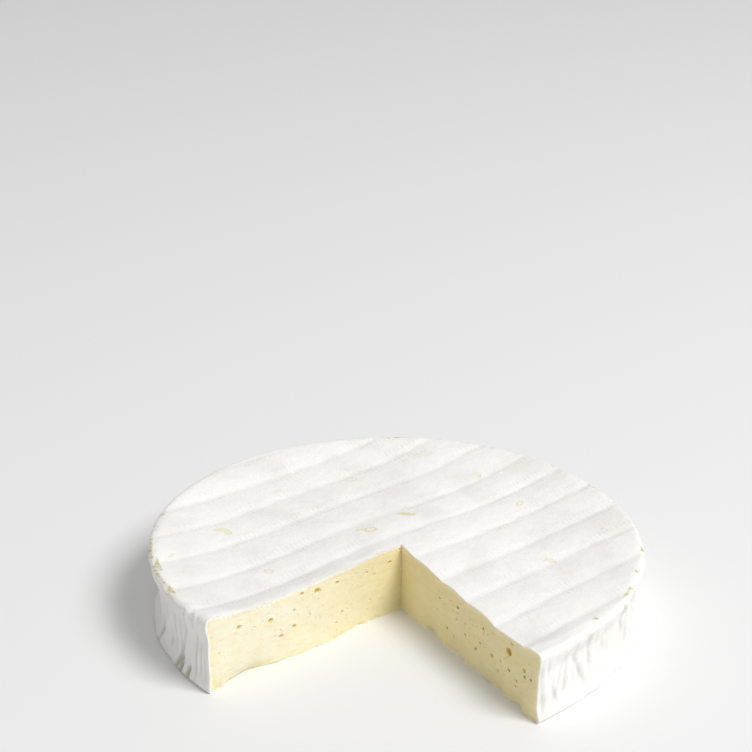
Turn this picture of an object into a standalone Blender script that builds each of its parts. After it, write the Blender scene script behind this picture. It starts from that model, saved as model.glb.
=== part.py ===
"""A soft-ripened cheese wheel with one wedge cut out of it.

The wheel stands on its flat underside. Its axis is vertical and the gap of the missing
wedge faces -Y. Lengths are in metres, and directions are counted counterclockwise from +X.
"""

import math
import random

import bmesh
import bpy
from mathutils import Vector, noise

MM = 0.001

# The wheel
RADIUS = 100.0 * MM
THICKNESS = 28.9 * MM
CENTRE = Vector((0.26 * MM, -4.91 * MM, 0.0))

# The two cuts of the missing wedge meet a little in front of the wheel's centre
CUT_POINT = Vector((1.8 * MM, -3.0 * MM, 0.0))
RIGHT_CUT = math.radians(-60.3)
LEFT_CUT = math.radians(222.1)

# The top sinks in a ring round the middle and rises to a lip, higher on one side
SAG = 1.8 * MM
SAG_RADIUS = 52.0 * MM
RIM_RISE = 3.9 * MM
RIM_RISE_LEAN = 1.4 * MM
RIM_HIGH_SIDE = math.radians(175.0)
RISE_CURVE = 2.4
DENT_DEPTH = 0.6 * MM
DENT_WIDTH = 38.0 * MM
LIP_WIDTH = 4.0 * MM
TOP_ROUND = 2.0 * MM
FOOT_ROUND = 1.5 * MM

# The top is lifted along the left cut and pressed in at a place by the right cut
LIFT_HEIGHT = 1.1 * MM
LIFT_WIDTH = 7.0 * MM
LIFT_START = 12.0 * MM
PRESSED_PLACE = Vector((42.0 * MM, -74.0 * MM))
PRESSED_DEPTH = 2.2 * MM
PRESSED_WIDTH = 15.0 * MM

# The side wall steps in under the lip and comes most of the way out again at the foot, and
# steps in less near the cuts. It is puckered all round, and flares at the right cut's corner
WAIST_DEPTH = 3.2 * MM
WAIST_LIP = 0.95
WAIST_STEP = 0.30
WAIST_FOOT = 0.25
FOOT_RETURN = 0.8
CUT_HOLD = 0.75
CUT_HOLD_ANGLE = math.radians(12.0)
WALL_REACH = 30.0 * MM
WALL_WANDER = 0.8 * MM
PUCKER_DEPTH = 0.6 * MM
PUCKER_PITCH = 9.0 * MM
CORNER_FLARE = 4.0 * MM
CORNER_FLARE_ANGLE = math.radians(14.0)

# Broad arched ribs that the draining mat pressed into the top, with a narrow groove between
# each two. A groove is placed by its distance from a line through the wheel's centre, in
# millimetres
RIB_TURN = math.radians(40.5)
GROOVES = (-109.0, -90.0, -71.5, -52.0, -33.5, -14.0, 5.0, 23.3, 44.3, 63.3, 79.8, 97.0, 114.0)
RIB_HEIGHT = 0.9 * MM
RIB_WANDER = 2.0 * MM

# The cut faces are nearly flat. Along the foot each bulges or is undercut, in millimetres
# at some distances from the cut point
CUT_WANDER = 0.5 * MM
FOOT_HEIGHT = 5.5 * MM
LEFT_FOOT = (
    (0.0, 0.0), (14.0, -1.2), (25.0, -1.0), (40.0, 0.7), (50.0, 0.0), (65.0, -1.6), (71.0, -2.9),
    (77.0, -5.2), (86.0, -4.0), (93.0, -1.4), (100.0, 0.3))
RIGHT_FOOT = (
    (0.0, 0.0), (15.0, 0.0), (22.0, -1.4), (34.0, 0.2), (42.0, -0.7), (52.0, 0.0), (58.0, -0.8),
    (74.0, -0.7), (78.0, 0.1), (86.0, -1.4), (92.5, 0.6), (101.0, 0.0))

# Eyes in the paste: distance from the cut point, height and radius, in millimetres
LEFT_EYES = (
    (44.6, 24.9, 1.7), (83.4, 23.2, 1.3), (68.5, 20.6, 1.4), (76.2, 20.4, 0.8),
    (63.3, 11.6, 1.2), (66.6, 12.6, 0.9), (56.8, 13.6, 1.1), (56.7, 20.8, 0.8),
    (52.6, 26.4, 1.0), (34.5, 24.6, 1.2), (18.8, 23.4, 0.9), (14.8, 21.4, 0.8),
    (6.5, 24.0, 1.0), (32.1, 10.9, 0.8), (17.3, 10.4, 0.8), (93.5, 15.8, 0.7))
RIGHT_EYES = (
    (79.3, 20.4, 1.9), (81.0, 24.5, 1.1), (67.8, 12.8, 1.2), (56.5, 10.1, 1.1),
    (49.0, 12.4, 0.8), (59.4, 14.0, 0.7), (72.0, 8.3, 0.9), (80.1, 12.8, 0.9),
    (90.0, 17.7, 1.0), (90.4, 15.4, 0.8), (94.5, 16.2, 0.8), (85.1, 10.8, 0.8),
    (84.6, 8.2, 0.7), (62.0, 21.5, 1.0), (43.5, 21.8, 1.1), (30.0, 19.5, 0.8),
    (22.5, 11.5, 0.7), (36.0, 9.0, 0.8), (73.8, 13.5, 0.6), (69.8, 10.6, 0.6))
EYE_SEED = 11

# How finely the solid is faceted
RINGS = 24
ROWS = 7
STEPS = 112

PASTE_AND_RIND = (0.90, 0.87, 0.78, 1.0)


def smooth(value):
    """Ease from 0 to 1, held at both ends."""
    value = min(max(value, 0.0), 1.0)
    return value * value * (3.0 - 2.0 * value)


def rib_height(x, y):
    """Height of the mat's ribs over a place on the top."""
    wander = RIB_WANDER * noise.noise(Vector((x, y, 0.0)) / (45.0 * MM))
    across = y * math.cos(RIB_TURN) - x * math.sin(RIB_TURN) + wander
    for low, high in zip(GROOVES, GROOVES[1:]):
        behind = across - low * MM
        ahead = high * MM - across
        if behind >= 0.0 and ahead > 0.0:
            return RIB_HEIGHT * 4.0 * behind * ahead / (behind + ahead) ** 2
    return 0.0


def lift(x, y):
    """How far the top is lifted at a place by the left cut."""
    cut = Vector((math.cos(LEFT_CUT), math.sin(LEFT_CUT)))
    from_point = Vector((x, y)) - CUT_POINT.to_2d()
    along = max(from_point.dot(cut), 0.0)
    away = (from_point - cut * along).length
    return LIFT_HEIGHT * smooth(along / LIFT_START) * math.exp(-((away / LIFT_WIDTH) ** 2))


def top_height(x, y):
    """Height of the top face over a place: a shallow dish with a lip, ribs and dents."""
    radius = math.hypot(x, y)
    sag = SAG * smooth(radius / SAG_RADIUS)
    lean = RIM_RISE_LEAN * math.cos(math.atan2(y, x) - RIM_HIGH_SIDE)
    outer = max((radius - SAG_RADIUS) / (RADIUS - SAG_RADIUS), 0.0)
    rise = (RIM_RISE + lean) * min(outer, 1.0) ** RISE_CURVE
    dents = DENT_DEPTH * noise.noise(Vector((x, y, 0.0)) / DENT_WIDTH)
    ribs = rib_height(x, y) * smooth((RADIUS - radius) / LIP_WIDTH)
    from_press = (Vector((x, y)) - PRESSED_PLACE).length
    pressed = PRESSED_DEPTH * math.exp(-((from_press / PRESSED_WIDTH) ** 2))
    return THICKNESS - sag + rise + dents + ribs + lift(x, y) - pressed


def wall_offset(angle, level):
    """How far the side wall stands out of a true cylinder, at a level from 0 to 1."""
    around = Vector((math.cos(angle), math.sin(angle), 0.0))
    step = smooth((WAIST_LIP - level) / WAIST_STEP)
    foot = FOOT_RETURN * smooth((WAIST_FOOT - level) / WAIST_FOOT)
    from_cut = min(angle - RIGHT_CUT, LEFT_CUT - angle)
    held = 1.0 - CUT_HOLD * math.exp(-from_cut / CUT_HOLD_ANGLE)
    depth = WAIST_DEPTH * held * (1.0 + 0.35 * noise.noise(around * 2.0))
    wander = WALL_WANDER * noise.noise(around * 1.3)
    pucker = PUCKER_DEPTH * noise.noise(Vector((angle * RADIUS / PUCKER_PITCH, level, 4.0)))
    flare = CORNER_FLARE * math.exp((RIGHT_CUT - angle) / CORNER_FLARE_ANGLE)
    return wander + flare + step * (pucker - depth * (1.0 - foot))


def rounded(radius, height):
    """Round the wheel's upper and lower edge, as an ellipse maps a square's corner."""
    if height > THICKNESS - TOP_ROUND:
        size = TOP_ROUND
        upward = (height - THICKNESS + size) / size
    elif height < FOOT_ROUND:
        size = FOOT_ROUND
        upward = (height - size) / size
    else:
        return radius, height
    outward = max((radius - RADIUS + size) / size, 0.0)
    middle = height - upward * size
    if outward > 0.0:
        radius = RADIUS - size + size * outward * math.sqrt(1.0 - upward * upward / 2.0)
    return radius, middle + size * upward * math.sqrt(1.0 - outward * outward / 2.0)


def along_line(points, place):
    """Read a line of (place, value) points smoothly between its two nearest points."""
    for (start, low), (end, high) in zip(points, points[1:]):
        if place <= end:
            return low + (high - low) * smooth((place - start) / (end - start))
    return points[-1][1]


def cut_offset(along, height, foot_line):
    """How far a cut face stands out of its flat plane."""
    broad = CUT_WANDER * noise.noise(Vector((along, height, 0.0)) / (16.0 * MM))
    foot = along_line(foot_line, along / MM) * MM * math.exp(-height / FOOT_HEIGHT)
    return foot + broad * smooth(along / (12.0 * MM))


def section(bm):
    """The wheel's cross-section as a flat grid, closer together near its edges."""
    bmesh.ops.create_grid(bm, x_segments=RINGS, y_segments=ROWS, size=1.0)
    for vert in bm.verts:
        out = 0.5 * vert.co.x + 0.5
        up = 0.5 * vert.co.y + 0.5
        radius = RADIUS * (0.55 * out + 0.45 * math.sin(out * math.pi / 2.0))
        height = THICKNESS * (0.5 * up + 0.25 - 0.25 * math.cos(math.pi * up))
        vert.co = Vector((math.cos(RIGHT_CUT) * radius, math.sin(RIGHT_CUT) * radius, height))


def shape(vert):
    """Move a point of the plain turned block to its place on the cheese."""
    radius = math.hypot(vert.co.x, vert.co.y)
    angle = math.atan2(vert.co.y, vert.co.x)
    if angle < RIGHT_CUT - 0.001:
        angle += math.tau
    outward = Vector((math.cos(angle), math.sin(angle), 0.0))

    # The block is turned about the cut point, so its reach to the wall varies
    inward = CUT_POINT.dot(outward)
    to_wall = math.sqrt(RADIUS ** 2 - CUT_POINT.length_squared + inward ** 2) - inward
    level = vert.co.z / THICKNESS
    along, height = rounded(radius, vert.co.z)
    wall = smooth((radius - RADIUS + WALL_REACH) / WALL_REACH)
    along = along * to_wall / RADIUS + wall * wall_offset(angle, level)
    place = CUT_POINT + outward * along
    height *= top_height(place.x, place.y) / THICKNESS

    if abs(angle - RIGHT_CUT) < 0.001:
        out_of_cut = Vector((math.sin(RIGHT_CUT), -math.cos(RIGHT_CUT), 0.0))
        place += out_of_cut * cut_offset(along, height, RIGHT_FOOT)
    if abs(angle - LEFT_CUT) < 0.001:
        out_of_cut = Vector((-math.sin(LEFT_CUT), math.cos(LEFT_CUT), 0.0))
        place += out_of_cut * cut_offset(along, height, LEFT_FOOT)
    vert.co = CENTRE + place + Vector((0.0, 0.0, height))


def make_wheel():
    """Turn the cross-section from one cut to the other and shape the block."""
    bm = bmesh.new()
    section(bm)
    bmesh.ops.spin(
        bm, geom=bm.verts[:] + bm.edges[:] + bm.faces[:], cent=(0.0, 0.0, 0.0),
        axis=(0.0, 0.0, 1.0), angle=LEFT_CUT - RIGHT_CUT, steps=STEPS)
    bmesh.ops.remove_doubles(bm, verts=bm.verts, dist=0.01 * MM)

    # The flat underside inside the rounded foot is one face
    inside = RADIUS - FOOT_ROUND
    under = {
        vert for vert in bm.verts
        if vert.co.z < 0.01 * MM and vert.co.to_2d().length < inside}
    flat = [face for face in bm.faces if under.issuperset(face.verts)]
    bmesh.ops.dissolve_faces(bm, faces=flat, use_verts=True)

    for vert in bm.verts:
        shape(vert)
    bmesh.ops.recalc_face_normals(bm, faces=bm.faces)
    mesh = bpy.data.meshes.new("camembert")
    bm.to_mesh(mesh)
    bm.free()
    wheel = bpy.data.objects.new("camembert", mesh)
    bpy.context.collection.objects.link(wheel)
    mesh.shade_smooth()
    mesh.set_sharp_from_angle(angle=math.radians(40.0))
    return wheel


def make_eye_cutter():
    """Flattened balls whose outer half stands out of the two cut faces."""
    draw = random.Random(EYE_SEED)
    bm = bmesh.new()
    for cut, eyes in ((LEFT_CUT, LEFT_EYES), (RIGHT_CUT, RIGHT_EYES)):
        outward = Vector((math.cos(cut), math.sin(cut), 0.0))
        for along, up, radius in eyes:
            fineness = 2 if radius > 1.0 else 1
            ball = bmesh.ops.create_icosphere(bm, subdivisions=fineness, radius=radius * MM)
            verts = ball["verts"]
            stretch = draw.uniform(0.75, 1.3)
            bmesh.ops.scale(bm, vec=(stretch, 1.0, draw.uniform(0.6, 0.9)), verts=verts)
            place = CENTRE + CUT_POINT + outward * along * MM + Vector((0.0, 0.0, up * MM))
            bmesh.ops.translate(bm, vec=place, verts=verts)
    mesh = bpy.data.meshes.new("eye_cutter")
    bm.to_mesh(mesh)
    bm.free()
    cutter = bpy.data.objects.new("eye_cutter", mesh)
    bpy.context.collection.objects.link(cutter)
    cutter.hide_render = True
    cutter.display_type = "WIRE"
    return cutter


def make_material():
    """Matt white rind over cream paste, as one plain mean colour."""
    material = bpy.data.materials.new("rind_and_paste")
    material.use_nodes = True
    shader = material.node_tree.nodes["Principled BSDF"]
    shader.inputs["Base Color"].default_value = PASTE_AND_RIND
    shader.inputs["Roughness"].default_value = 0.75
    shader.inputs["Metallic"].default_value = 0.0
    return material


def main():
    for old in list(bpy.data.objects):
        bpy.data.objects.remove(old)
    wheel = make_wheel()
    wheel.data.materials.append(make_material())
    eyes = wheel.modifiers.new("eyes", "BOOLEAN")
    eyes.operation = "DIFFERENCE"
    eyes.object = make_eye_cutter()


main()
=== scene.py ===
import math
import random

import bmesh
import bpy
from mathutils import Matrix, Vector, noise


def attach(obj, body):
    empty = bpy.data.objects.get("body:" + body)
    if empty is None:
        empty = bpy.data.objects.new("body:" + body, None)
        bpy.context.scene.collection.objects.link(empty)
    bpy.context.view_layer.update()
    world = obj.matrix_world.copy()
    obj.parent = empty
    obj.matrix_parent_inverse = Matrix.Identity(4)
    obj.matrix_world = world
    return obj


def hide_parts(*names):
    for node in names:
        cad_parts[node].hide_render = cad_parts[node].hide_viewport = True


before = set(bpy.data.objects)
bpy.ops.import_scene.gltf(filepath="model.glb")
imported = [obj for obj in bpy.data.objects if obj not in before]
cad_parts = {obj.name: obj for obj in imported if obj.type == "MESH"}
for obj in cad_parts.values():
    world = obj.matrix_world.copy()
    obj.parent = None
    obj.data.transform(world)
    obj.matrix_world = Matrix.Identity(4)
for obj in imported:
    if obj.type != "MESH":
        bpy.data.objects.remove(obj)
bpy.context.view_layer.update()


# The wheel of cheese, cut open in front. The real one is curd that drained in a round mould
# and on a ribbed mat, ripened under a white bloom, and then had a wedge cut out with a knife.
# Its cross-section is turned from one cut to the other and the block is moved to its form.
MM = 0.001
RADIUS = 100.0 * MM
THICKNESS = 28.9 * MM
CENTRE = Vector((0.26 * MM, -4.91 * MM, 0.0))
CUT_POINT = Vector((1.8 * MM, -3.0 * MM, 0.0))
RIGHT_CUT = math.radians(-60.3)
LEFT_CUT = math.radians(222.1)
RINGS = 72
ROWS = 28
STEPS = 320
FINE_RADIUS = 45.0 * MM
RING_EVENNESS = 0.7
ROW_EVENNESS = 0.7
FOOT_ROUND = 1.5 * MM
TOUCHING = 0.01 * MM
RIND = 0
PASTE = 1


def smooth(value):
    """Ease from 0 to 1, held at both ends."""
    value = min(max(value, 0.0), 1.0)
    return value * value * (3.0 - 2.0 * value)


def turned_block():
    """A plain turned block: the wheel's cross-section, spun from one cut to the other."""
    bm = bmesh.new()
    bmesh.ops.create_grid(bm, x_segments=RINGS, y_segments=ROWS, size=1.0)
    for vert in bm.verts:
        out = 0.5 * vert.co.x + 0.5
        up = 0.5 * vert.co.y + 0.5
        eased_out = math.sin(out * math.pi / 2.0)
        eased_up = 0.5 - 0.5 * math.cos(math.pi * up)
        radius = RADIUS * (RING_EVENNESS * out + (1.0 - RING_EVENNESS) * eased_out)
        height = THICKNESS * (ROW_EVENNESS * up + (1.0 - ROW_EVENNESS) * eased_up)
        vert.co = Vector((math.cos(RIGHT_CUT) * radius, math.sin(RIGHT_CUT) * radius, height))
    bmesh.ops.spin(
        bm, geom=bm.verts[:] + bm.edges[:] + bm.faces[:], cent=(0.0, 0.0, 0.0),
        axis=(0.0, 0.0, 1.0), angle=LEFT_CUT - RIGHT_CUT, steps=STEPS)
    bmesh.ops.remove_doubles(bm, verts=bm.verts, dist=TOUCHING)
    return bm


def is_level(edge):
    """Whether an edge runs round the wheel rather than outwards or upwards."""
    first, second = (vert.co for vert in edge.verts)
    same_radius = abs(first.to_2d().length - second.to_2d().length) < TOUCHING
    return same_radius and abs(first.z - second.z) < TOUCHING


def on_a_cut(face):
    """Whether a face of the plain block lies on one of the two cuts."""
    middle = face.calc_center_median()
    for cut in (RIGHT_CUT, LEFT_CUT):
        off_plane = middle.y * math.cos(cut) - middle.x * math.sin(cut)
        outwards = middle.x * math.cos(cut) + middle.y * math.sin(cut)
        if abs(off_plane) < 0.1 * TOUCHING and outwards > 0.0:
            return True
    return False


wheel_bm = turned_block()
outer_edges = [
    edge for edge in wheel_bm.edges
    if edge.verts[0].co.to_2d().length > FINE_RADIUS and is_level(edge)]
bmesh.ops.subdivide_edges(wheel_bm, edges=outer_edges, cuts=1)
wall_edges = [
    edge for edge in wheel_bm.edges
    if edge.verts[0].co.to_2d().length > RADIUS - 0.1 * MM and is_level(edge)]
bmesh.ops.subdivide_edges(wheel_bm, edges=wall_edges, cuts=1)
for face in wheel_bm.faces:
    face.material_index = PASTE if on_a_cut(face) else RIND
cut_edges = {edge for face in wheel_bm.faces if face.material_index == PASTE for edge in face.edges}
bmesh.ops.subdivide_edges(wheel_bm, edges=list(cut_edges), cuts=1, use_grid_fill=True)
under = {
    vert for vert in wheel_bm.verts
    if vert.co.z < TOUCHING and vert.co.to_2d().length < RADIUS - FOOT_ROUND}
underside = [
    face for face in wheel_bm.faces
    if face.material_index == RIND and under.issuperset(face.verts)]
bmesh.ops.dissolve_faces(wheel_bm, faces=underside, use_verts=True)


# The top of the wheel: a dish that sags in a ring round the middle and rises to a lip, with
# the broad arched ribs of the draining mat across it and a narrow groove between each two.
# The knife lifted it along the left cut, and it is pressed in at a place by the right one.
SAG = 1.8 * MM
SAG_RADIUS = 52.0 * MM
RIM_RISE = 3.9 * MM
RIM_RISE_LEAN = 1.4 * MM
RIM_HIGH_SIDE = math.radians(175.0)
RISE_CURVE = 2.4
DENT_DEPTH = 0.6 * MM
DENT_WIDTH = 38.0 * MM
LIP_WIDTH = 4.0 * MM
RIB_TURN = math.radians(40.5)

# Each groove's distance from a line through the wheel's centre, in mm
GROOVES = (-109.0, -90.0, -71.5, -52.0, -33.5, -14.0, 5.0, 23.3, 44.3, 63.3, 79.8, 97.0, 114.0)
RIB_HEIGHT = 0.9 * MM
RIB_WANDER = 2.0 * MM
RIB_WANDER_PITCH = 45.0 * MM
GROOVE_JITTER = 0.5 * MM
GROOVE_JITTER_PITCH = 7.0 * MM
LIFT_HEIGHT = 1.1 * MM
LIFT_WIDTH = 7.0 * MM
LIFT_START = 12.0 * MM
PRESSED_PLACE = Vector((42.0 * MM, -74.0 * MM))
PRESSED_DEPTH = 2.2 * MM
PRESSED_WIDTH = 15.0 * MM
TOP_GRAIN = 0.12 * MM
TOP_GRAIN_PITCH = 7.0 * MM


def beside_grooves(x, y):
    """How far a place lies behind the groove before it and ahead of the next, across the ribs."""
    wander = RIB_WANDER * noise.noise(Vector((x, y, 0.0)) / RIB_WANDER_PITCH)
    wander += GROOVE_JITTER * noise.noise(Vector((x, y, 9.0 * MM)) / GROOVE_JITTER_PITCH)
    across = y * math.cos(RIB_TURN) - x * math.sin(RIB_TURN) + wander
    for low, high in zip(GROOVES, GROOVES[1:]):
        if low * MM <= across < high * MM:
            return across - low * MM, high * MM - across
    return 0.0, 0.0


def rib_height(x, y):
    """Height of the mat's ribs over a place on the top."""
    behind, ahead = beside_grooves(x, y)
    return RIB_HEIGHT * 4.0 * behind * ahead / max(behind + ahead, MM) ** 2


def lift(x, y):
    """How far the top is lifted at a place by the left cut."""
    cut = Vector((math.cos(LEFT_CUT), math.sin(LEFT_CUT)))
    from_point = Vector((x, y)) - CUT_POINT.to_2d()
    along = max(from_point.dot(cut), 0.0)
    away = (from_point - cut * along).length
    return LIFT_HEIGHT * smooth(along / LIFT_START) * math.exp(-((away / LIFT_WIDTH) ** 2))


def top_height(x, y):
    """Height of the top face over a place: a shallow dish with a lip, ribs and a pressed place."""
    radius = math.hypot(x, y)
    sag = SAG * smooth(radius / SAG_RADIUS)
    lean = RIM_RISE_LEAN * math.cos(math.atan2(y, x) - RIM_HIGH_SIDE)
    outer = max((radius - SAG_RADIUS) / (RADIUS - SAG_RADIUS), 0.0)
    rise = (RIM_RISE + lean) * min(outer, 1.0) ** RISE_CURVE
    dents = DENT_DEPTH * noise.noise(Vector((x, y, 0.0)) / DENT_WIDTH)
    ribs = rib_height(x, y) * smooth((RADIUS - radius) / LIP_WIDTH)
    from_press = (Vector((x, y)) - PRESSED_PLACE).length
    pressed = PRESSED_DEPTH * math.exp(-((from_press / PRESSED_WIDTH) ** 2))
    grain = TOP_GRAIN * noise.fractal(Vector((x, y, 0.0)) / TOP_GRAIN_PITCH, 0.8, 2.1, 3)
    return THICKNESS - sag + rise + dents + ribs + lift(x, y) - pressed + grain


# The side wall: the rind steps in under the lip, comes part of the way out at the foot and is
# puckered and creased all round, because the cheese sank a little as it dried. A place of it on
# the left is flatter.
WAIST_DEPTH = 3.2 * MM
WAIST_LIP = 0.95
WAIST_STEP = 0.30
WAIST_FOOT = 0.25
FOOT_RETURN = 0.8
CUT_HOLD = 0.75
CUT_HOLD_ANGLE = math.radians(12.0)
WALL_REACH = 30.0 * MM
WALL_WANDER = 0.8 * MM
PUCKER_DEPTH = 0.6 * MM
PUCKER_PITCH = 9.0 * MM
CORNER_FLARE = 4.0 * MM
CORNER_FLARE_ANGLE = math.radians(14.0)
CREASE_SEED = 5
CREASES_DRAWN = 60
FOLD_PITCH = 9.0 * MM
FOLD_BEND_PITCH = 20.0 * MM
FOLD_SHARPNESS = 0.11
FOLD_DEPTH = 0.85 * MM
LUMP_PITCH = 6.0 * MM
LUMP_HEIGHT = 0.45 * MM
GRAIN_PITCH = 2.2 * MM
GRAIN_HEIGHT = 0.16 * MM
FLAT_PLACE = math.radians(187.0)
FLAT_REACH = math.radians(9.0)
FLAT_DEPTH = 0.9 * MM

# Each crease: angle and lean in degrees, lower and upper end as levels, depth and width in mm
creases = [
    (200.1, -2.0, 0.42, 0.82, 1.50, 1.1), (211.0, 5.0, 0.02, 1.05, 1.20, 1.1),
    (211.6, 8.0, -0.20, 0.55, 1.30, 1.1), (211.3, 3.0, -0.30, 0.30, 1.90, 1.5),
    (214.4, 2.0, -0.30, 0.26, 1.70, 1.3), (217.0, 1.6, 0.08, 0.85, 1.00, 1.0),
    (206.0, -2.5, 0.15, 0.90, 0.90, 1.2), (198.0, 6.0, -0.20, 0.45, 1.10, 1.4),
    (216.4, 0.0, 0.70, 1.06, 1.40, 1.4), (203.0, 1.0, 0.10, 0.95, 0.80, 0.9),
    (208.5, -1.5, 0.05, 0.80, 0.70, 0.9), (219.0, 1.0, 0.10, 0.75, 0.60, 0.9),
    (193.0, -1.0, 0.20, 0.95, 0.90, 1.2), (220.3, -1.0, 0.05, 0.55, 0.60, 1.0),
    (-56.0, -5.0, 0.05, 0.50, 0.80, 1.2), (-53.0, 7.0, 0.10, 0.90, 0.80, 1.1),
    (-47.0, -9.0, 0.10, 0.75, 0.70, 1.2), (-43.0, -2.0, 0.30, 1.00, 0.90, 1.2),
    (-27.0, -4.0, 0.35, 1.05, 1.40, 1.4), (-23.0, 3.0, 0.20, 1.00, 1.20, 1.2),
]
crease_draw = random.Random(CREASE_SEED)
for _ in range(CREASES_DRAWN):
    creases.append((
        crease_draw.uniform(math.degrees(RIGHT_CUT), 196.0),
        crease_draw.gauss(0.0, 3.2),
        crease_draw.uniform(-0.2, 0.45),
        crease_draw.uniform(0.55, 1.0),
        crease_draw.uniform(0.3, 1.1),
        crease_draw.uniform(0.9, 1.5)))


def crease_depth(angle, level):
    """Depth of the creases of the wall at this place: a groove with one raised shoulder."""
    total = 0.0
    for middle, lean, low, high, depth, width in creases:
        off_middle = angle - math.radians(middle + lean * (level - 0.5))
        across = off_middle * RADIUS / (width * MM)
        if abs(across) < 4.0:
            reach = smooth((level - low) / 0.2) * smooth((high - level) / 0.2)
            groove = math.exp(-across * across) - 0.4 * math.exp(-(((across - 1.8) / 1.2) ** 2))
            total += depth * MM * reach * groove
    return total


def wall_offset(angle, level):
    """How far the side wall stands out of a true cylinder, at a level from 0 to 1."""
    around = Vector((math.cos(angle), math.sin(angle), 0.0))
    step = smooth((WAIST_LIP - level) / WAIST_STEP)
    foot = FOOT_RETURN * smooth((WAIST_FOOT - level) / WAIST_FOOT)
    from_cut = min(angle - RIGHT_CUT, LEFT_CUT - angle)
    held = 1.0 - CUT_HOLD * math.exp(-from_cut / CUT_HOLD_ANGLE)
    depth = WAIST_DEPTH * held * (1.0 + 0.35 * noise.noise(around * 2.0))
    wander = WALL_WANDER * noise.noise(around * 1.3)
    pucker = PUCKER_DEPTH * noise.noise(Vector((angle * RADIUS / PUCKER_PITCH, level, 4.0)))
    flare = CORNER_FLARE * math.exp((RIGHT_CUT - angle) / CORNER_FLARE_ANGLE)
    return wander + flare + step * (pucker - depth * (1.0 - foot))


def wall_skin(angle, level):
    """Relief of the wall's skin that the solid leaves out: folds, lumps, grain and creases."""
    run = angle * RADIUS
    bend = noise.noise(Vector((run / FOLD_BEND_PITCH, level * 1.2, 6.0)))
    fold = noise.noise(Vector((run / FOLD_PITCH + 0.6 * bend, level * 0.7, 8.0)))
    folds = FOLD_DEPTH * (math.exp(-((fold / FOLD_SHARPNESS) ** 2)) - 0.35) * (0.6 + bend)
    lumps = LUMP_HEIGHT * noise.noise(Vector((run / LUMP_PITCH, level * 4.0, 3.0)))
    grain = GRAIN_HEIGHT * noise.noise(Vector((run / GRAIN_PITCH, level * 9.0, 5.0)))
    under_lip = smooth((1.02 - level) / 0.15)
    from_flat = (angle - FLAT_PLACE) / FLAT_REACH
    flat = FLAT_DEPTH * math.exp(-from_flat * from_flat) * smooth((0.7 - level) / 0.25)
    lumps *= 0.25 + 0.75 * under_lip
    return lumps + grain - flat - folds * under_lip - crease_depth(angle, level)


# Eyes are small round holes where gas gathered in the curd, opened by the knife. Each has its
# distance from the cut point, height and radius in mm; pinholes are drawn between them.
LEFT_EYES = (
    (44.6, 24.9, 1.7), (83.4, 23.2, 1.3), (68.5, 20.6, 1.4), (76.2, 20.4, 0.8),
    (63.3, 11.6, 1.2), (66.6, 12.6, 0.9), (56.8, 13.6, 1.1), (56.7, 20.8, 0.8),
    (52.6, 26.4, 1.0), (34.5, 24.6, 1.2), (18.8, 23.4, 0.9), (14.8, 21.4, 0.8),
    (6.5, 24.0, 1.0), (32.1, 10.9, 0.8), (17.3, 10.4, 0.8), (93.5, 15.8, 0.7))
RIGHT_EYES = (
    (79.3, 20.4, 1.9), (81.0, 24.5, 1.1), (67.8, 12.8, 1.2), (56.5, 10.1, 1.1),
    (49.0, 12.4, 0.8), (59.4, 14.0, 0.7), (72.0, 8.3, 0.9), (80.1, 12.8, 0.9),
    (90.0, 17.7, 1.0), (90.4, 15.4, 0.8), (94.5, 16.2, 0.8), (85.1, 10.8, 0.8),
    (84.6, 8.2, 0.7), (62.0, 21.5, 1.0), (43.5, 21.8, 1.1), (30.0, 19.5, 0.8),
    (22.5, 11.5, 0.7), (36.0, 9.0, 0.8), (73.8, 13.5, 0.6), (69.8, 10.6, 0.6))
PINHOLES_PER_CUT = 46
PINHOLE_RADIUS = (0.25 * MM, 0.5 * MM)
PINHOLE_GAP = 0.5 * MM
PINHOLE_START = 12.0 * MM
PINHOLE_END = RADIUS - 7.0 * MM
PINHOLE_LOWEST = 6.0 * MM
PINHOLE_HIGHEST = THICKNESS - 5.0 * MM
EYE_SEED = 11


def scatter_eyes(eyes, count, radii, gap, draw):
    """Add eyes of a range of radii where they stay clear of the ones already there."""
    wanted = len(eyes) + count
    while len(eyes) < wanted:
        along = draw.uniform(PINHOLE_START, PINHOLE_END)
        up = draw.uniform(PINHOLE_LOWEST, PINHOLE_HIGHEST)
        radius = draw.uniform(*radii)
        clear = all(
            math.hypot(along - other[0], up - other[1]) > radius + other[2] + gap
            for other in eyes)
        if clear:
            eyes.append((along, up, radius))


draw = random.Random(EYE_SEED)
eyes_of_cut = {}
for cut, named in ((LEFT_CUT, LEFT_EYES), (RIGHT_CUT, RIGHT_EYES)):
    eyes_of_cut[cut] = [(along * MM, up * MM, radius * MM) for along, up, radius in named]
    scatter_eyes(eyes_of_cut[cut], PINHOLES_PER_CUT, PINHOLE_RADIUS, PINHOLE_GAP, draw)


# The two edges of the wheel are rounded, and the two cut faces are nearly flat: the knife
# dragged the paste a little, left the rind standing proud and tore the foot.
TOP_ROUND = 2.0 * MM
CUT_WANDER = 0.5 * MM
CUT_WANDER_PITCH = 16.0 * MM
CUT_WANDER_START = 12.0 * MM
FOOT_HEIGHT = 5.5 * MM

# How far each cut's foot bulges or is undercut, in mm at some distances from the cut point
LEFT_FOOT = (
    (0.0, 0.0), (14.0, -1.2), (25.0, -1.0), (40.0, 0.7), (50.0, 0.0), (65.0, -1.6), (71.0, -2.9),
    (77.0, -5.2), (86.0, -4.0), (93.0, -1.4), (100.0, 0.3))
RIGHT_FOOT = (
    (0.0, 0.0), (15.0, 0.0), (22.0, -1.4), (34.0, 0.2), (42.0, -0.7), (52.0, 0.0), (58.0, -0.8),
    (74.0, -0.7), (78.0, 0.1), (86.0, -1.4), (92.5, 0.6), (101.0, 0.0))

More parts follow.
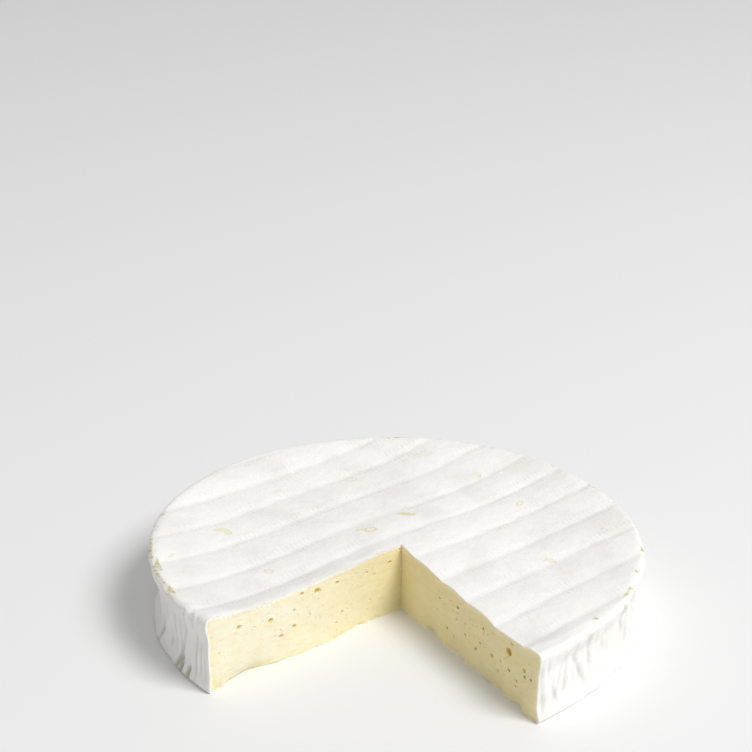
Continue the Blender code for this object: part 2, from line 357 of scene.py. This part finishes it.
# The wires of the mat tooth the cut rind: their pitch, depth, and the places along the left
# cut where they show most, each by its middle and reach in mm
SCALLOP_PITCH = 2.3 * MM
SCALLOP_DEPTH = 0.40 * MM
SCALLOPED_PLACES = ((70.5, 5.5), (89.0, 4.5))
NOTCH_REACH = 0.8 * MM
NOTCH_HEIGHT = 1.5 * MM

# The fine relief of the cut faces
EYE_RIM = 0.14 * MM
RIMMED_EYE = 0.75 * MM
DRAG_DEPTH = 0.09 * MM
DRAG_LENGTH = 26.0 * MM
DRAG_PITCH = 1.7 * MM
PASTE_GRAIN = 0.10 * MM
PASTE_GRAIN_PITCH = 3.0 * MM
TORN_DEPTH = 0.9 * MM
TORN_PITCH = 3.4 * MM
TORN_HEIGHT = 1.6 * MM
PROUD_RIND = 0.22 * MM
PROUD_RIND_WIDTH = 0.7 * MM
CUT_SKIN_START = 4.0 * MM

# How far in, and up to what level, the wall's skin eases off
WALL_SKIN_WIDTH = 3.0 * MM
WALL_SKIN_FOOT = 0.06
SAME_ANGLE = 0.001


def rounded(radius, height):
    """Round the wheel's upper and lower edge, as an ellipse maps a square's corner."""
    if height > THICKNESS - TOP_ROUND:
        size = TOP_ROUND
        upward = (height - THICKNESS + size) / size
    elif height < FOOT_ROUND:
        size = FOOT_ROUND
        upward = (height - size) / size
    else:
        return radius, height
    outward = max((radius - RADIUS + size) / size, 0.0)
    middle = height - upward * size
    if outward > 0.0:
        radius = RADIUS - size + size * outward * math.sqrt(1.0 - upward * upward / 2.0)
    return radius, middle + size * upward * math.sqrt(1.0 - outward * outward / 2.0)


def along_line(points, place):
    """Read a line of (place, value) points smoothly between its two nearest points."""
    for (start, low), (end, high) in zip(points, points[1:]):
        if place <= end:
            return low + (high - low) * smooth((place - start) / (end - start))
    return points[-1][1]


def cut_offset(along, height, foot_line):
    """How far a cut face stands out of its flat plane."""
    broad = CUT_WANDER * noise.noise(Vector((along, height, 0.0)) / CUT_WANDER_PITCH)
    foot = along_line(foot_line, along / MM) * MM * math.exp(-height / FOOT_HEIGHT)
    return foot + broad * smooth(along / CUT_WANDER_START)


def eye_rims(along, height, eyes):
    """Height of the soft rims that the knife pushed up round the larger eyes."""
    total = 0.0
    for eye_along, eye_up, radius in eyes:
        away = math.hypot(along - eye_along, height - eye_up)
        if radius > RIMMED_EYE and away < 3.0 * radius:
            total += EYE_RIM * math.exp(-(((away / radius - 1.2) / 0.45) ** 2))
    return total


def cut_skin(along, height, below_top, eyes):
    """Fine relief of a cut face: knife drag, eye rims, a torn foot and rind that stands proud."""
    drag = DRAG_DEPTH * noise.noise(Vector((along / DRAG_LENGTH, height / DRAG_PITCH, 5.0)))
    drag += PASTE_GRAIN * noise.noise(Vector((along, height, 0.0)) / PASTE_GRAIN_PITCH)
    torn = noise.fractal(Vector((along / TORN_PITCH, 0.4 * height / MM, 1.0)), 0.9, 2.0, 3)
    foot = TORN_DEPTH * torn * math.exp(-height / TORN_HEIGHT)
    rind = PROUD_RIND * math.exp(-below_top / PROUD_RIND_WIDTH)
    relief = drag + foot + rind + eye_rims(along, height, eyes)
    return relief * smooth(along / CUT_SKIN_START)


def scalloped(along, on_left):
    """How strongly the mat's fine wires tooth the cut rind's edge at a distance along it."""
    faint = 0.18 + 0.25 * abs(noise.noise(Vector((along / (9.0 * MM), 2.0, 0.0))))
    if not on_left:
        return 0.6 * faint
    return faint + sum(
        math.exp(-(((along / MM - middle) / reach) ** 2)) for middle, reach in SCALLOPED_PLACES)


def scallop(along, on_left):
    """How deep the cut rind's edge is notched between the mat's fine wires."""
    wires = abs(math.sin(math.pi * along / SCALLOP_PITCH))
    return SCALLOP_DEPTH * scalloped(along, on_left) * wires


def shape_wheel(vert):
    """Move a point of the plain turned block to its place on the cheese."""
    radius = math.hypot(vert.co.x, vert.co.y)
    angle = math.atan2(vert.co.y, vert.co.x)
    if angle < RIGHT_CUT - SAME_ANGLE:
        angle += math.tau
    outward = Vector((math.cos(angle), math.sin(angle), 0.0))

    # The block is turned about the cut point, so its reach to the wall varies
    inward = CUT_POINT.dot(outward)
    to_wall = math.sqrt(RADIUS ** 2 - CUT_POINT.length_squared + inward ** 2) - inward
    level = vert.co.z / THICKNESS
    along, height = rounded(radius, vert.co.z)
    wall = smooth((radius - RADIUS + WALL_REACH) / WALL_REACH)
    skin = smooth((radius - RADIUS + WALL_SKIN_WIDTH) / WALL_SKIN_WIDTH)
    skin *= smooth(level / WALL_SKIN_FOOT)
    along = along * to_wall / RADIUS
    along += wall * wall_offset(angle, level) + skin * wall_skin(angle, level)
    place = CUT_POINT + outward * along
    below_top = THICKNESS - vert.co.z
    height *= top_height(place.x, place.y) / THICKNESS

    near_cut = min(angle - RIGHT_CUT, LEFT_CUT - angle) * radius
    notch = math.exp(-near_cut / NOTCH_REACH) * math.exp(-below_top / NOTCH_HEIGHT)
    height -= scallop(along, angle > 0.5 * (RIGHT_CUT + LEFT_CUT)) * notch
    for cut, side, foot_line in ((LEFT_CUT, 1.0, LEFT_FOOT), (RIGHT_CUT, -1.0, RIGHT_FOOT)):
        if abs(angle - cut) < SAME_ANGLE:
            skin = cut_skin(along, height, below_top, eyes_of_cut[cut])
            out_of_cut = side * Vector((-math.sin(cut), math.cos(cut), 0.0))
            place += out_of_cut * (cut_offset(along, height, foot_line) + skin)
    vert.co = CENTRE + place + Vector((0.0, 0.0, height))


for vert in wheel_bm.verts:
    shape_wheel(vert)
bmesh.ops.recalc_face_normals(wheel_bm, faces=wheel_bm.faces)
wheel_mesh = bpy.data.meshes.new("camembert_wheel")
wheel_bm.to_mesh(wheel_mesh)
wheel_bm.free()
wheel = bpy.data.objects.new("camembert_wheel", wheel_mesh)
bpy.context.collection.objects.link(wheel)


def dented_ball(bm, place, radius, draw):
    """One eye's hollow: a ball, squashed and dented by noise."""
    ball = bmesh.ops.create_icosphere(bm, subdivisions=3 if radius > 0.5 * MM else 2, radius=radius)
    verts = ball["verts"]
    stretch = draw.uniform(0.75, 1.3)
    squash = draw.uniform(0.6, 0.9)
    seed = Vector((draw.uniform(0.0, 50.0), draw.uniform(0.0, 50.0), 0.0))
    for vert in verts:
        direction = vert.co / radius
        dent = 1.0 + 0.30 * noise.noise(direction * 1.5 + seed)
        vert.co = Vector((direction.x * stretch, direction.y, direction.z * squash)) * radius * dent
    bmesh.ops.translate(bm, vec=place, verts=verts)


cutter_bm = bmesh.new()
for cut, eyes in eyes_of_cut.items():
    outward = Vector((math.cos(cut), math.sin(cut), 0.0))
    for along, up, radius in eyes:
        place = CENTRE + CUT_POINT + outward * along + Vector((0.0, 0.0, up))
        dented_ball(cutter_bm, place, radius, draw)
for face in cutter_bm.faces:
    face.material_index = PASTE
cutter_mesh = bpy.data.meshes.new("eye_cutter")
cutter_bm.to_mesh(cutter_mesh)
cutter_bm.free()
cutter = bpy.data.objects.new("eye_cutter", cutter_mesh)
bpy.context.collection.objects.link(cutter)


# The finish of the wheel. The real rind is a thin skin under a matt white bloom, worn off in
# places. The paste is soft and cream and yellower under the rind; towards the right cut it has
# painted shade.
class Recipe:
    """Builds one material's nodes around its Principled shader."""

    def __init__(self, name):
        self.material = bpy.data.materials.new(name)
        self.material.use_nodes = True
        self.tree = self.material.node_tree
        self.shader = self.tree.nodes["Principled BSDF"]
        self.place = self.node("ShaderNodeTexCoord").outputs["Object"]

    def node(self, kind, links=None, **settings):
        """Add a node, give it its settings and feed its inputs from values or sockets."""
        made = self.tree.nodes.new(kind)
        for key, value in settings.items():
            setattr(made, key, value)
        for key, value in (links or {}).items():
            if isinstance(value, bpy.types.NodeSocket):
                self.tree.links.new(value, made.inputs[key])
            else:
                made.inputs[key].default_value = value
        return made

    def noise(self, size, detail=2.0, stretch=(1.0, 1.0, 1.0)):
        """Noise from 0 to 1 whose lumps are about this size, stretched along each axis."""
        spread = self.node(
            "ShaderNodeMapping", {"Vector": self.place, "Scale": stretch}, vector_type="TEXTURE")
        made = self.node(
            "ShaderNodeTexNoise",
            {"Vector": spread.outputs["Vector"], "Scale": 1.0 / size, "Detail": detail})
        return made.outputs["Fac"]

    def math(self, operation, first, second=0.0, third=0.0):
        inputs = {0: first, 1: second, 2: third}
        return self.node("ShaderNodeMath", inputs, operation=operation).outputs[0]

    def between(self, value, low, high, start=0.0, end=1.0):
        """Ease a value from start to end as it goes from low to high."""
        made = self.node(
            "ShaderNodeMapRange",
            {"Value": value, "From Min": low, "From Max": high, "To Min": start, "To Max": end},
            interpolation_type="SMOOTHSTEP")
        return made.outputs["Result"]

    def mix(self, factor, first, second):
        """Go from the first colour to the second; a mix node's colours are its inputs 6 and 7."""
        made = self.node("ShaderNodeMix", {0: factor}, data_type="RGBA")
        for index, colour in ((6, first), (7, second)):
            if isinstance(colour, bpy.types.NodeSocket):
                self.tree.links.new(colour, made.inputs[index])
            else:
                made.inputs[index].default_value = colour
        return made.outputs[2]

    def vector_math(self, operation, first, second):
        inputs = {0: first, 1: second}
        return self.node("ShaderNodeVectorMath", inputs, operation=operation).outputs[0]

    def attribute(self, name):
        return self.node("ShaderNodeAttribute", attribute_name=name).outputs["Fac"]

    def bump(self, height, distance, strength=1.0, below=None):
        links = {"Height": height, "Distance": distance, "Strength": strength}
        if below is not None:
            links["Normal"] = below
        return self.node("ShaderNodeBump", links).outputs["Normal"]

    def set(self, **values):
        """Set sockets of the shader, by name with _ for a space."""
        for key, value in values.items():
            socket = self.shader.inputs[key.replace("_", " ")]
            if isinstance(value, bpy.types.NodeSocket):
                self.tree.links.new(value, socket)
            else:
                socket.default_value = value


BLOOM = (0.91, 0.90, 0.87, 1.0)
BLOOM_SHADE = (0.84, 0.825, 0.79, 1.0)
RUBBED_SKIN = (0.78, 0.71, 0.38, 1.0)
WORN_SKIN = (0.56, 0.47, 0.20, 1.0)
PAINTED_CREASE_SHADE = (0.72, 0.71, 0.68, 1.0)
FOOT_STAIN = (0.56, 0.51, 0.38, 1.0)

# Places on the top where the bloom is rubbed off: centre from the wheel's middle, length and
# width in mm and turn in degrees, how far the inside shows, and how strong its outline is
SPOT_WAVES = 2.6 * MM
RUBBED_SPOTS = (
    (-72.0, 11.4, 6.4, 2.8, 6.0, 0.8, 0.55),
    (-69.4, 9.6, 4.2, 3.0, -55.0, 0.8, 0.6),
    (-51.0, -22.8, 5.2, 3.0, -40.0, 0.2, 0.55),
    (-19.5, 61.1, 6.0, 4.0, 50.0, 0.35, 0.40),
    (-10.8, 11.1, 5.4, 4.6, 25.0, 0.25, 0.85),
    (-15.3, 11.4, 4.2, 1.3, 4.0, 0.9, 0.65),
    (3.8, 26.4, 8.0, 3.0, -16.0, 0.8, 0.95),
    (-51.0, 48.9, 3.6, 2.6, 30.0, 0.9, 0.30),
    (-90.2, -14.3, 3.6, 1.4, 65.0, 1.0, 0.45),
    (12.0, 84.0, 9.0, 5.0, 15.0, 0.6, 0.20),
    (52.0, 38.0, 5.0, 3.0, 70.0, 0.3, 0.50),
    (61.0, -12.0, 5.2, 3.2, -20.0, 0.7, 0.55),
    (36.0, 66.0, 4.4, 2.6, 120.0, 0.8, 0.45),
    (84.0, 12.0, 2.6, 1.6, 60.0, 1.0, 0.35),
)


def rubbed_spots(rind):
    """Mask of the rubbed spots, each an outline with its inside showing less."""
    wavy = rind.node(
        "ShaderNodeTexNoise", {"Vector": rind.place, "Scale": 1.0 / SPOT_WAVES, "Detail": 2.0})
    shift = rind.vector_math("SUBTRACT", wavy.outputs["Color"], (0.5, 0.5, 0.5))
    shift = rind.vector_math("MULTIPLY", shift, (SPOT_WAVES,) * 3)
    torn_place = rind.vector_math("ADD", rind.place, shift)
    rubbed = 0.0
    for x, y, length, width, turn, inside, outline in RUBBED_SPOTS:
        local = rind.node(
            "ShaderNodeMapping",
            {"Vector": torn_place, "Location": CENTRE + Vector((x * MM, y * MM, 0.0)),
             "Rotation": (0.0, 0.0, math.radians(turn)),
             "Scale": (0.5 * length * MM, 0.5 * width * MM, 1.0)}, vector_type="TEXTURE")
        away = rind.node("ShaderNodeVectorMath", {0: local.outputs[0]}, operation="LENGTH")
        reach = away.outputs["Value"]
        spot = rind.math(
            "MULTIPLY", rind.between(reach, 0.85, 1.2, outline, 0.0),
            rind.between(reach, 0.5, 0.85, inside, 1.0))
        rubbed = rind.math("MAXIMUM", rubbed, spot)
    height = rind.node("ShaderNodeSeparateXYZ", {0: rind.place}).outputs[2]
    return rind.math("MULTIPLY", rubbed, rind.between(height, 22.0 * MM, 24.0 * MM))


def rind_finish():
    """Matt white bloom: rubbed spots, a worn lip, painted grey shade in the creases and stains at
    their foot.
    """
    rind = Recipe("white_bloomy_rind")
    mottle = rind.noise(18.0 * MM, 4.0)
    colour = rind.mix(rind.between(mottle, 0.38, 0.68), BLOOM, BLOOM_SHADE)
    rubbed = rubbed_spots(rind)
    colour = rind.mix(rubbed, colour, RUBBED_SKIN)
    ragged = rind.math("MULTIPLY_ADD", rind.noise(2.2 * MM, 4.0), 1.6, -0.8)
    worn = rind.between(rind.math("ADD", rind.attribute("worn"), ragged), 0.30, 0.85)
    worn = rind.math("MULTIPLY", worn, rind.between(rind.attribute("worn"), 0.02, 0.25))
    flecks = rind.between(rind.noise(1.6 * MM, 2.0), 0.36, 0.62, 0.35, 1.0)
    worn = rind.math("MULTIPLY", worn, flecks)
    colour = rind.mix(worn, colour, WORN_SKIN)
    # Painted shade: the wall's creases are greyed by their depth, standing in for the shade in them
    colour = rind.mix(rind.math("MULTIPLY", rind.attribute("crease_shade_depth"), 0.7), colour, PAINTED_CREASE_SHADE)
    blots = rind.between(rind.noise(5.0 * MM, 4.0), 0.4, 0.6, 0.1, 0.75)
    stain = rind.math("MULTIPLY", rind.attribute("stain"), blots)
    colour = rind.mix(stain, colour, FOOT_STAIN)

    # The mat's fine wires lie across the ribs and show most along their edges
    across_ribs = rind.node(
        "ShaderNodeMapping", {"Vector": rind.place, "Rotation": (0.0, 0.0, -RIB_TURN)})
    wires = rind.node(
        "ShaderNodeTexWave",
        {"Vector": across_ribs.outputs[0], "Scale": math.tau / (20.0 * SCALLOP_PITCH),
         "Distortion": 1.5, "Detail": 2.0, "Detail Scale": 1.5},
        wave_type="BANDS", bands_direction="X", wave_profile="SIN").outputs["Fac"]
    shown = rind.math("MULTIPLY_ADD", rind.attribute("rib_edge"), 0.9, 0.1)
    pressed = rind.between(rind.noise(24.0 * MM, 1.0), 0.38, 0.62, 0.2, 1.0)
    shown = rind.math("MULTIPLY", shown, pressed)
    normal = rind.bump(rind.math("MULTIPLY", wires, shown), 0.24 * MM)
    normal = rind.bump(rind.noise(3.4 * MM, 3.0), 0.30 * MM, 1.0, normal)
    normal = rind.bump(rind.noise(0.8 * MM, 3.0), 0.14 * MM, 1.0, normal)
    normal = rind.bump(rubbed, -0.25 * MM, 1.0, normal)
    rind.set(
        Base_Color=colour, Roughness=0.85, Normal=normal, Specular_IOR_Level=0.25,
        Subsurface_Weight=0.25, Subsurface_Radius=(1.0, 0.9, 0.7), Subsurface_Scale=1.2 * MM,
        Sheen_Weight=0.12, Sheen_Roughness=0.6, Sheen_Tint=(1.0, 1.0, 0.98, 1.0))
    return rind.material


CREAM = (0.91, 0.865, 0.68, 1.0)
CREAM_RIPE = (0.90, 0.80, 0.50, 1.0)
CREAM_PAINTED_SHADE = (0.84, 0.73, 0.40, 1.0)
CUT_RIND = (0.93, 0.91, 0.86, 1.0)
EYE_PAINTED_SHADE = (0.78, 0.56, 0.05, 1.0)


def paste_finish():
    """Cream paste, yellower under the rind, with the white line of the cut rind round it."""
    paste = Recipe("cream_paste")
    along = paste.attribute("along_cut")
    under_top = paste.attribute("under_top")
    under_wall = paste.attribute("under_wall")
    under_foot = paste.attribute("under_foot")
    under = paste.math("MINIMUM", under_top, paste.math("MINIMUM", under_wall, under_foot))

    # The ripeness of the paste: more under the rind, in blotches and in level streaks
    streaks = paste.noise(1.0, 3.0, (16.0 * MM, 16.0 * MM, 1.8 * MM))
    blotches = paste.noise(9.0 * MM, 2.0)
    ripe = paste.between(under, 0.6, 5.0, 0.55, 0.0)
    ripe = paste.math("ADD", ripe, paste.between(blotches, 0.42, 0.7, 0.0, 0.35))
    ripe = paste.math("ADD", ripe, paste.between(streaks, 0.42, 0.7, 0.0, 0.35))
    side = paste.node("ShaderNodeSeparateXYZ", {0: paste.place}).outputs[0]
    # Painted shade: the paste turns darker and yellower from the left cut's inner part over to the
    # right cut
    colour = paste.mix(paste.between(side, -45.0 * MM, 12.0 * MM), CREAM, CREAM_PAINTED_SHADE)
    colour = paste.mix(paste.node("ShaderNodeClamp", {0: ripe}).outputs[0], colour, CREAM_RIPE)

    # Painted shade: fine level slits, and the eyes deeper the further a point is sunk in, take a
    # darker ochre
    slits = paste.between(paste.noise(1.0, 1.0, (1.9 * MM, 1.9 * MM, 0.45 * MM)), 0.68, 0.76)
    colour = paste.mix(paste.math("MULTIPLY", slits, 0.35), colour, EYE_PAINTED_SHADE)
    in_eye = paste.between(paste.attribute("in_eye"), 0.2, 1.1, 0.0, 0.9)
    colour = paste.mix(in_eye, colour, EYE_PAINTED_SHADE)

    # The cut rind: a white line, wide and toothed along the left cut's top, ragged along the foot
    ragged = paste.noise(1.6 * MM, 3.0)
    tooth = paste.math("COSINE", paste.math("MULTIPLY", along, math.tau * MM / SCALLOP_PITCH))
    tooth = paste.between(tooth, -0.9, 0.9)
    on_left = paste.between(side, 0.0, 4.0 * MM, 1.0, 0.0)
    toothed = paste.math("MULTIPLY", tooth, paste.attribute("scalloped"))
    top_width = paste.math("MULTIPLY_ADD", toothed, 0.95, 0.15)
    top_width = paste.math("MULTIPLY_ADD", on_left, 0.70, top_width)
    top_width = paste.math("MULTIPLY_ADD", ragged, 0.9, top_width)
    wall_width = paste.math("MULTIPLY_ADD", ragged, 1.1, 0.25)
    foot_width = paste.math("MULTIPLY_ADD", ragged, 1.2, -0.40)
    rind_line = 0.0
    lines = (
        (under_top, top_width, 0.45), (under_wall, wall_width, 0.4), (under_foot, foot_width, 0.2))
    for depth, width, fade in lines:
        inside = paste.math("SUBTRACT", depth, width)
        rind_line = paste.math("MAXIMUM", rind_line, paste.between(inside, -fade, fade, 1.0, 0.0))
    colour = paste.mix(rind_line, colour, CUT_RIND)

    normal = paste.bump(streaks, 0.12 * MM)
    normal = paste.bump(slits, -0.20 * MM, 1.0, normal)
    normal = paste.bump(paste.noise(1.8 * MM, 3.0), 0.16 * MM, 1.0, normal)
    normal = paste.bump(paste.noise(0.5 * MM, 2.0), 0.04 * MM, 1.0, normal)
    paste.set(
        Base_Color=colour, Roughness=0.5, Normal=normal, Specular_IOR_Level=0.4,
        Subsurface_Weight=0.4, Subsurface_Radius=(1.0, 0.75, 0.35), Subsurface_Scale=2.2 * MM)
    return paste.material


rind_material = rind_finish()
paste_material = paste_finish()
for mesh in (wheel_mesh, cutter_mesh):
    mesh.materials.append(rind_material)
    mesh.materials.append(paste_material)

eyes_cut = wheel.modifiers.new("eyes", "BOOLEAN")
eyes_cut.operation = "DIFFERENCE"
eyes_cut.solver = "MANIFOLD"
eyes_cut.object = cutter
shown = wheel.evaluated_get(bpy.context.evaluated_depsgraph_get())
wheel.data = bpy.data.meshes.new_from_object(shown)
wheel.modifiers.clear()
wheel.data.name = "camembert_wheel"
bpy.data.objects.remove(cutter)
wheel.data.shade_smooth()
wheel.data.set_sharp_from_angle(angle=math.radians(45.0))


def depths_under_rind(along, height, angle, top):
    """How far a point of a cut face lies below the top, behind the wall and above the foot."""
    outward = Vector((math.cos(angle), math.sin(angle), 0.0))
    inward = CUT_POINT.dot(outward)
    to_wall = math.sqrt(RADIUS ** 2 - CUT_POINT.length_squared + inward ** 2) - inward
    below = top - height
    behind = to_wall + wall_offset(angle, height / top) + wall_skin(angle, height / top) - along
    for size, face in ((TOP_ROUND, below), (FOOT_ROUND, height)):
        if face < size and behind < size:
            behind = min(behind, size - math.hypot(size - face, size - behind))
    return below, behind, height


# Worn patches of the lip: turn round the wheel and half length in degrees, how far from the
# wheel's middle and half width in mm, and how strongly the skin shows
WORN_DRAWN = 26
WORN_BELOW = 1.0 * MM
worn_patches = [
    (206.2, 2.6, 97.9, 0.9, 1.0), (202.0, 2.6, 98.7, 0.6, 0.85), (194.5, 3.6, 97.3, 0.8, 0.95),
    (197.5, 5.0, 99.0, 0.6, 0.65), (186.0, 6.0, 99.2, 0.8, 0.75),
    (168.6, 1.8, 98.6, 1.0, 0.7), (154.0, 1.2, 98.8, 0.8, 0.5), (176.5, 2.4, 98.0, 0.8, 0.4),
]
for _ in range(WORN_DRAWN):
    worn_patches.append((
        draw.uniform(math.degrees(RIGHT_CUT) + 4.0, 148.0),
        draw.uniform(0.8, 3.4),
        draw.uniform(97.0, 99.6),
        draw.uniform(0.6, 1.2),
        draw.uniform(0.25, 0.75)))


def worn_through(place):
    """How far the lip's bloom is worn off at a place, from 0 to 1."""
    if place.z < THICKNESS - WORN_BELOW:
        return 0.0
    turn = math.degrees(math.atan2(place.y, place.x))
    turn += 360.0 if turn < math.degrees(RIGHT_CUT) - 10.0 else 0.0
    from_middle = place.to_2d().length / MM
    worn = 0.0
    for patch_turn, half_length, patch_radius, half_width, strength in worn_patches:
        off = math.hypot(
            (turn - patch_turn) / half_length, (from_middle - patch_radius) / half_width)
        worn = max(worn, strength * smooth(1.6 - off))
    return worn


# The creases' stain is full on the left of the gap and faint elsewhere
STAIN_ELSEWHERE = 0.25
STAIN_START = math.radians(188.0)
STAIN_EASE = math.radians(8.0)
STAINED_DEPTH = 0.8 * MM
CUT_REACH = 5.0 * MM
CUT_SLACK = 0.35
WALL_REACHED = RADIUS - 6.0 * MM
RIB_EDGE_BEHIND = 3.4 * MM
RIB_EDGE_AHEAD = 2.6 * MM
RIB_EDGE_WIDTH = 1.6 * MM

readings = {
    name: [] for name in (
        "under_top", "under_wall", "under_foot", "along_cut", "scalloped", "in_eye", "worn",
        "stain", "crease_shade_depth", "rib_edge")}
for vert in wheel.data.vertices:
    place = vert.co - CENTRE
    from_cut = place - CUT_POINT
    along = from_cut.to_2d().length
    angle = math.atan2(from_cut.y, from_cut.x)
    if angle < RIGHT_CUT - CUT_SLACK:
        angle += math.tau
    top = top_height(place.x, place.y)

    # On the cut faces: depths under the rind, and how far a point is sunk into an eye
    left_side = angle > 0.5 * (RIGHT_CUT + LEFT_CUT)
    cut, side, foot_line = (RIGHT_CUT, -1.0, RIGHT_FOOT)
    if left_side:
        cut, side, foot_line = (LEFT_CUT, 1.0, LEFT_FOOT)
    out_of_cut = side * (from_cut.y * math.cos(cut) - from_cut.x * math.sin(cut))
    near = abs(out_of_cut) < CUT_REACH and along * math.cos(angle - cut) > 0.0
    depths = (0.0, 0.0, 0.0)
    sunk = 0.0
    if near:
        depths = depths_under_rind(along, vert.co.z, cut, top)
        skin = cut_skin(along, vert.co.z, depths[0], eyes_of_cut[cut])
        sunk = max(cut_offset(along, vert.co.z, foot_line) + skin - out_of_cut, 0.0)
    for name, depth in zip(("under_top", "under_wall", "under_foot"), depths):
        readings[name].append(depth / MM)
    readings["along_cut"].append(along / MM)
    readings["scalloped"].append(scalloped(along, left_side) if near else 0.0)
    readings["in_eye"].append(sunk / MM)

    # On the rind: worn lip, crease depth for the painted shade of the creases and the stain at
    # their foot, and the edges of the ribs
    level = vert.co.z / top
    on_wall = place.to_2d().length > WALL_REACHED and level < 0.9
    deep = min(max(crease_depth(angle, level) / STAINED_DEPTH, 0.0), 1.0) if on_wall else 0.0
    readings["worn"].append(worn_through(place))
    stained = smooth((angle - STAIN_START) / STAIN_EASE)
    stained = STAIN_ELSEWHERE + (1.0 - STAIN_ELSEWHERE) * stained
    readings["stain"].append(stained * deep * smooth((0.5 - level) / 0.3))
    readings["crease_shade_depth"].append(deep)
    behind, ahead = beside_grooves(place.x, place.y) if level > 0.9 else (0.0, 0.0)
    edges = math.exp(-((behind - RIB_EDGE_BEHIND) / RIB_EDGE_WIDTH) ** 2)
    edges += math.exp(-((ahead - RIB_EDGE_AHEAD) / RIB_EDGE_WIDTH) ** 2)
    readings["rib_edge"].append(min(edges, 1.0) if behind + ahead > 0.0 else 0.0)
for name, values in readings.items():
    layer = wheel.data.attributes.new(name, "FLOAT", "POINT")
    layer.data.foreach_set("value", values)
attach(wheel, "root")
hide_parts("camembert")


# The table: a plain pale floor that the wheel stands on. It is one flat square of matt board,
# far wider than the wheel.
FLOOR_SIZE = 5.0
FLOOR_COLOUR = (0.85, 0.85, 0.85, 1.0)
floor_bm = bmesh.new()
bmesh.ops.create_grid(floor_bm, x_segments=1, y_segments=1, size=FLOOR_SIZE)
floor_mesh = bpy.data.meshes.new("floor")
floor_bm.to_mesh(floor_mesh)
floor_bm.free()
floor = bpy.data.objects.new("floor", floor_mesh)
bpy.context.collection.objects.link(floor)
floor_finish = Recipe("pale_floor")
floor_finish.set(Base_Color=FLOOR_COLOUR, Roughness=0.9, Specular_IOR_Level=0.1)
floor_mesh.materials.append(floor_finish.material)


# The light: one large soft lamp from the right and front, and a pale surround.
def soft_lamp(name, direction, distance, size, power):
    """A square lamp that looks at the wheel from a direction."""
    light = bpy.data.lights.new(name, "AREA")
    light.size = size
    light.energy = power
    lamp = bpy.data.objects.new(name, light)
    lamp.location = Vector(direction).normalized() * distance
    lamp.rotation_euler = (-lamp.location).to_track_quat("-Z", "Y").to_euler()
    bpy.context.collection.objects.link(lamp)


SURROUND_STRENGTH = 0.46
soft_lamp("key_lamp", direction=(0.82, -0.57, 1.24), distance=3.0, size=1.3, power=65.0)
surround = bpy.data.worlds.new("surround")
surround.use_nodes = True
surround.node_tree.nodes["Background"].inputs["Color"].default_value = (1.0, 1.0, 1.0, 1.0)
surround.node_tree.nodes["Background"].inputs["Strength"].default_value = SURROUND_STRENGTH
bpy.context.scene.world = surround
bpy.context.scene.view_settings.view_transform = "Standard"


# The camera: the photograph's place and angle, found from the wheel's rim and its cuts.
CAMERA_PLACE = CENTRE + Vector((-8.5 * MM, -722.0 * MM, 403.3 * MM))
CAMERA_DOWN = math.radians(22.65)
CAMERA_LENS = 95.74
camera_data = bpy.data.cameras.new("camera")
camera_data.lens = CAMERA_LENS
camera_data.sensor_width = 36.0
camera = bpy.data.objects.new("camera", camera_data)
camera.location = CAMERA_PLACE
camera.rotation_euler = (math.radians(90.0) - CAMERA_DOWN, 0.0, 0.0)
bpy.context.collection.objects.link(camera)
bpy.context.scene.camera = camera
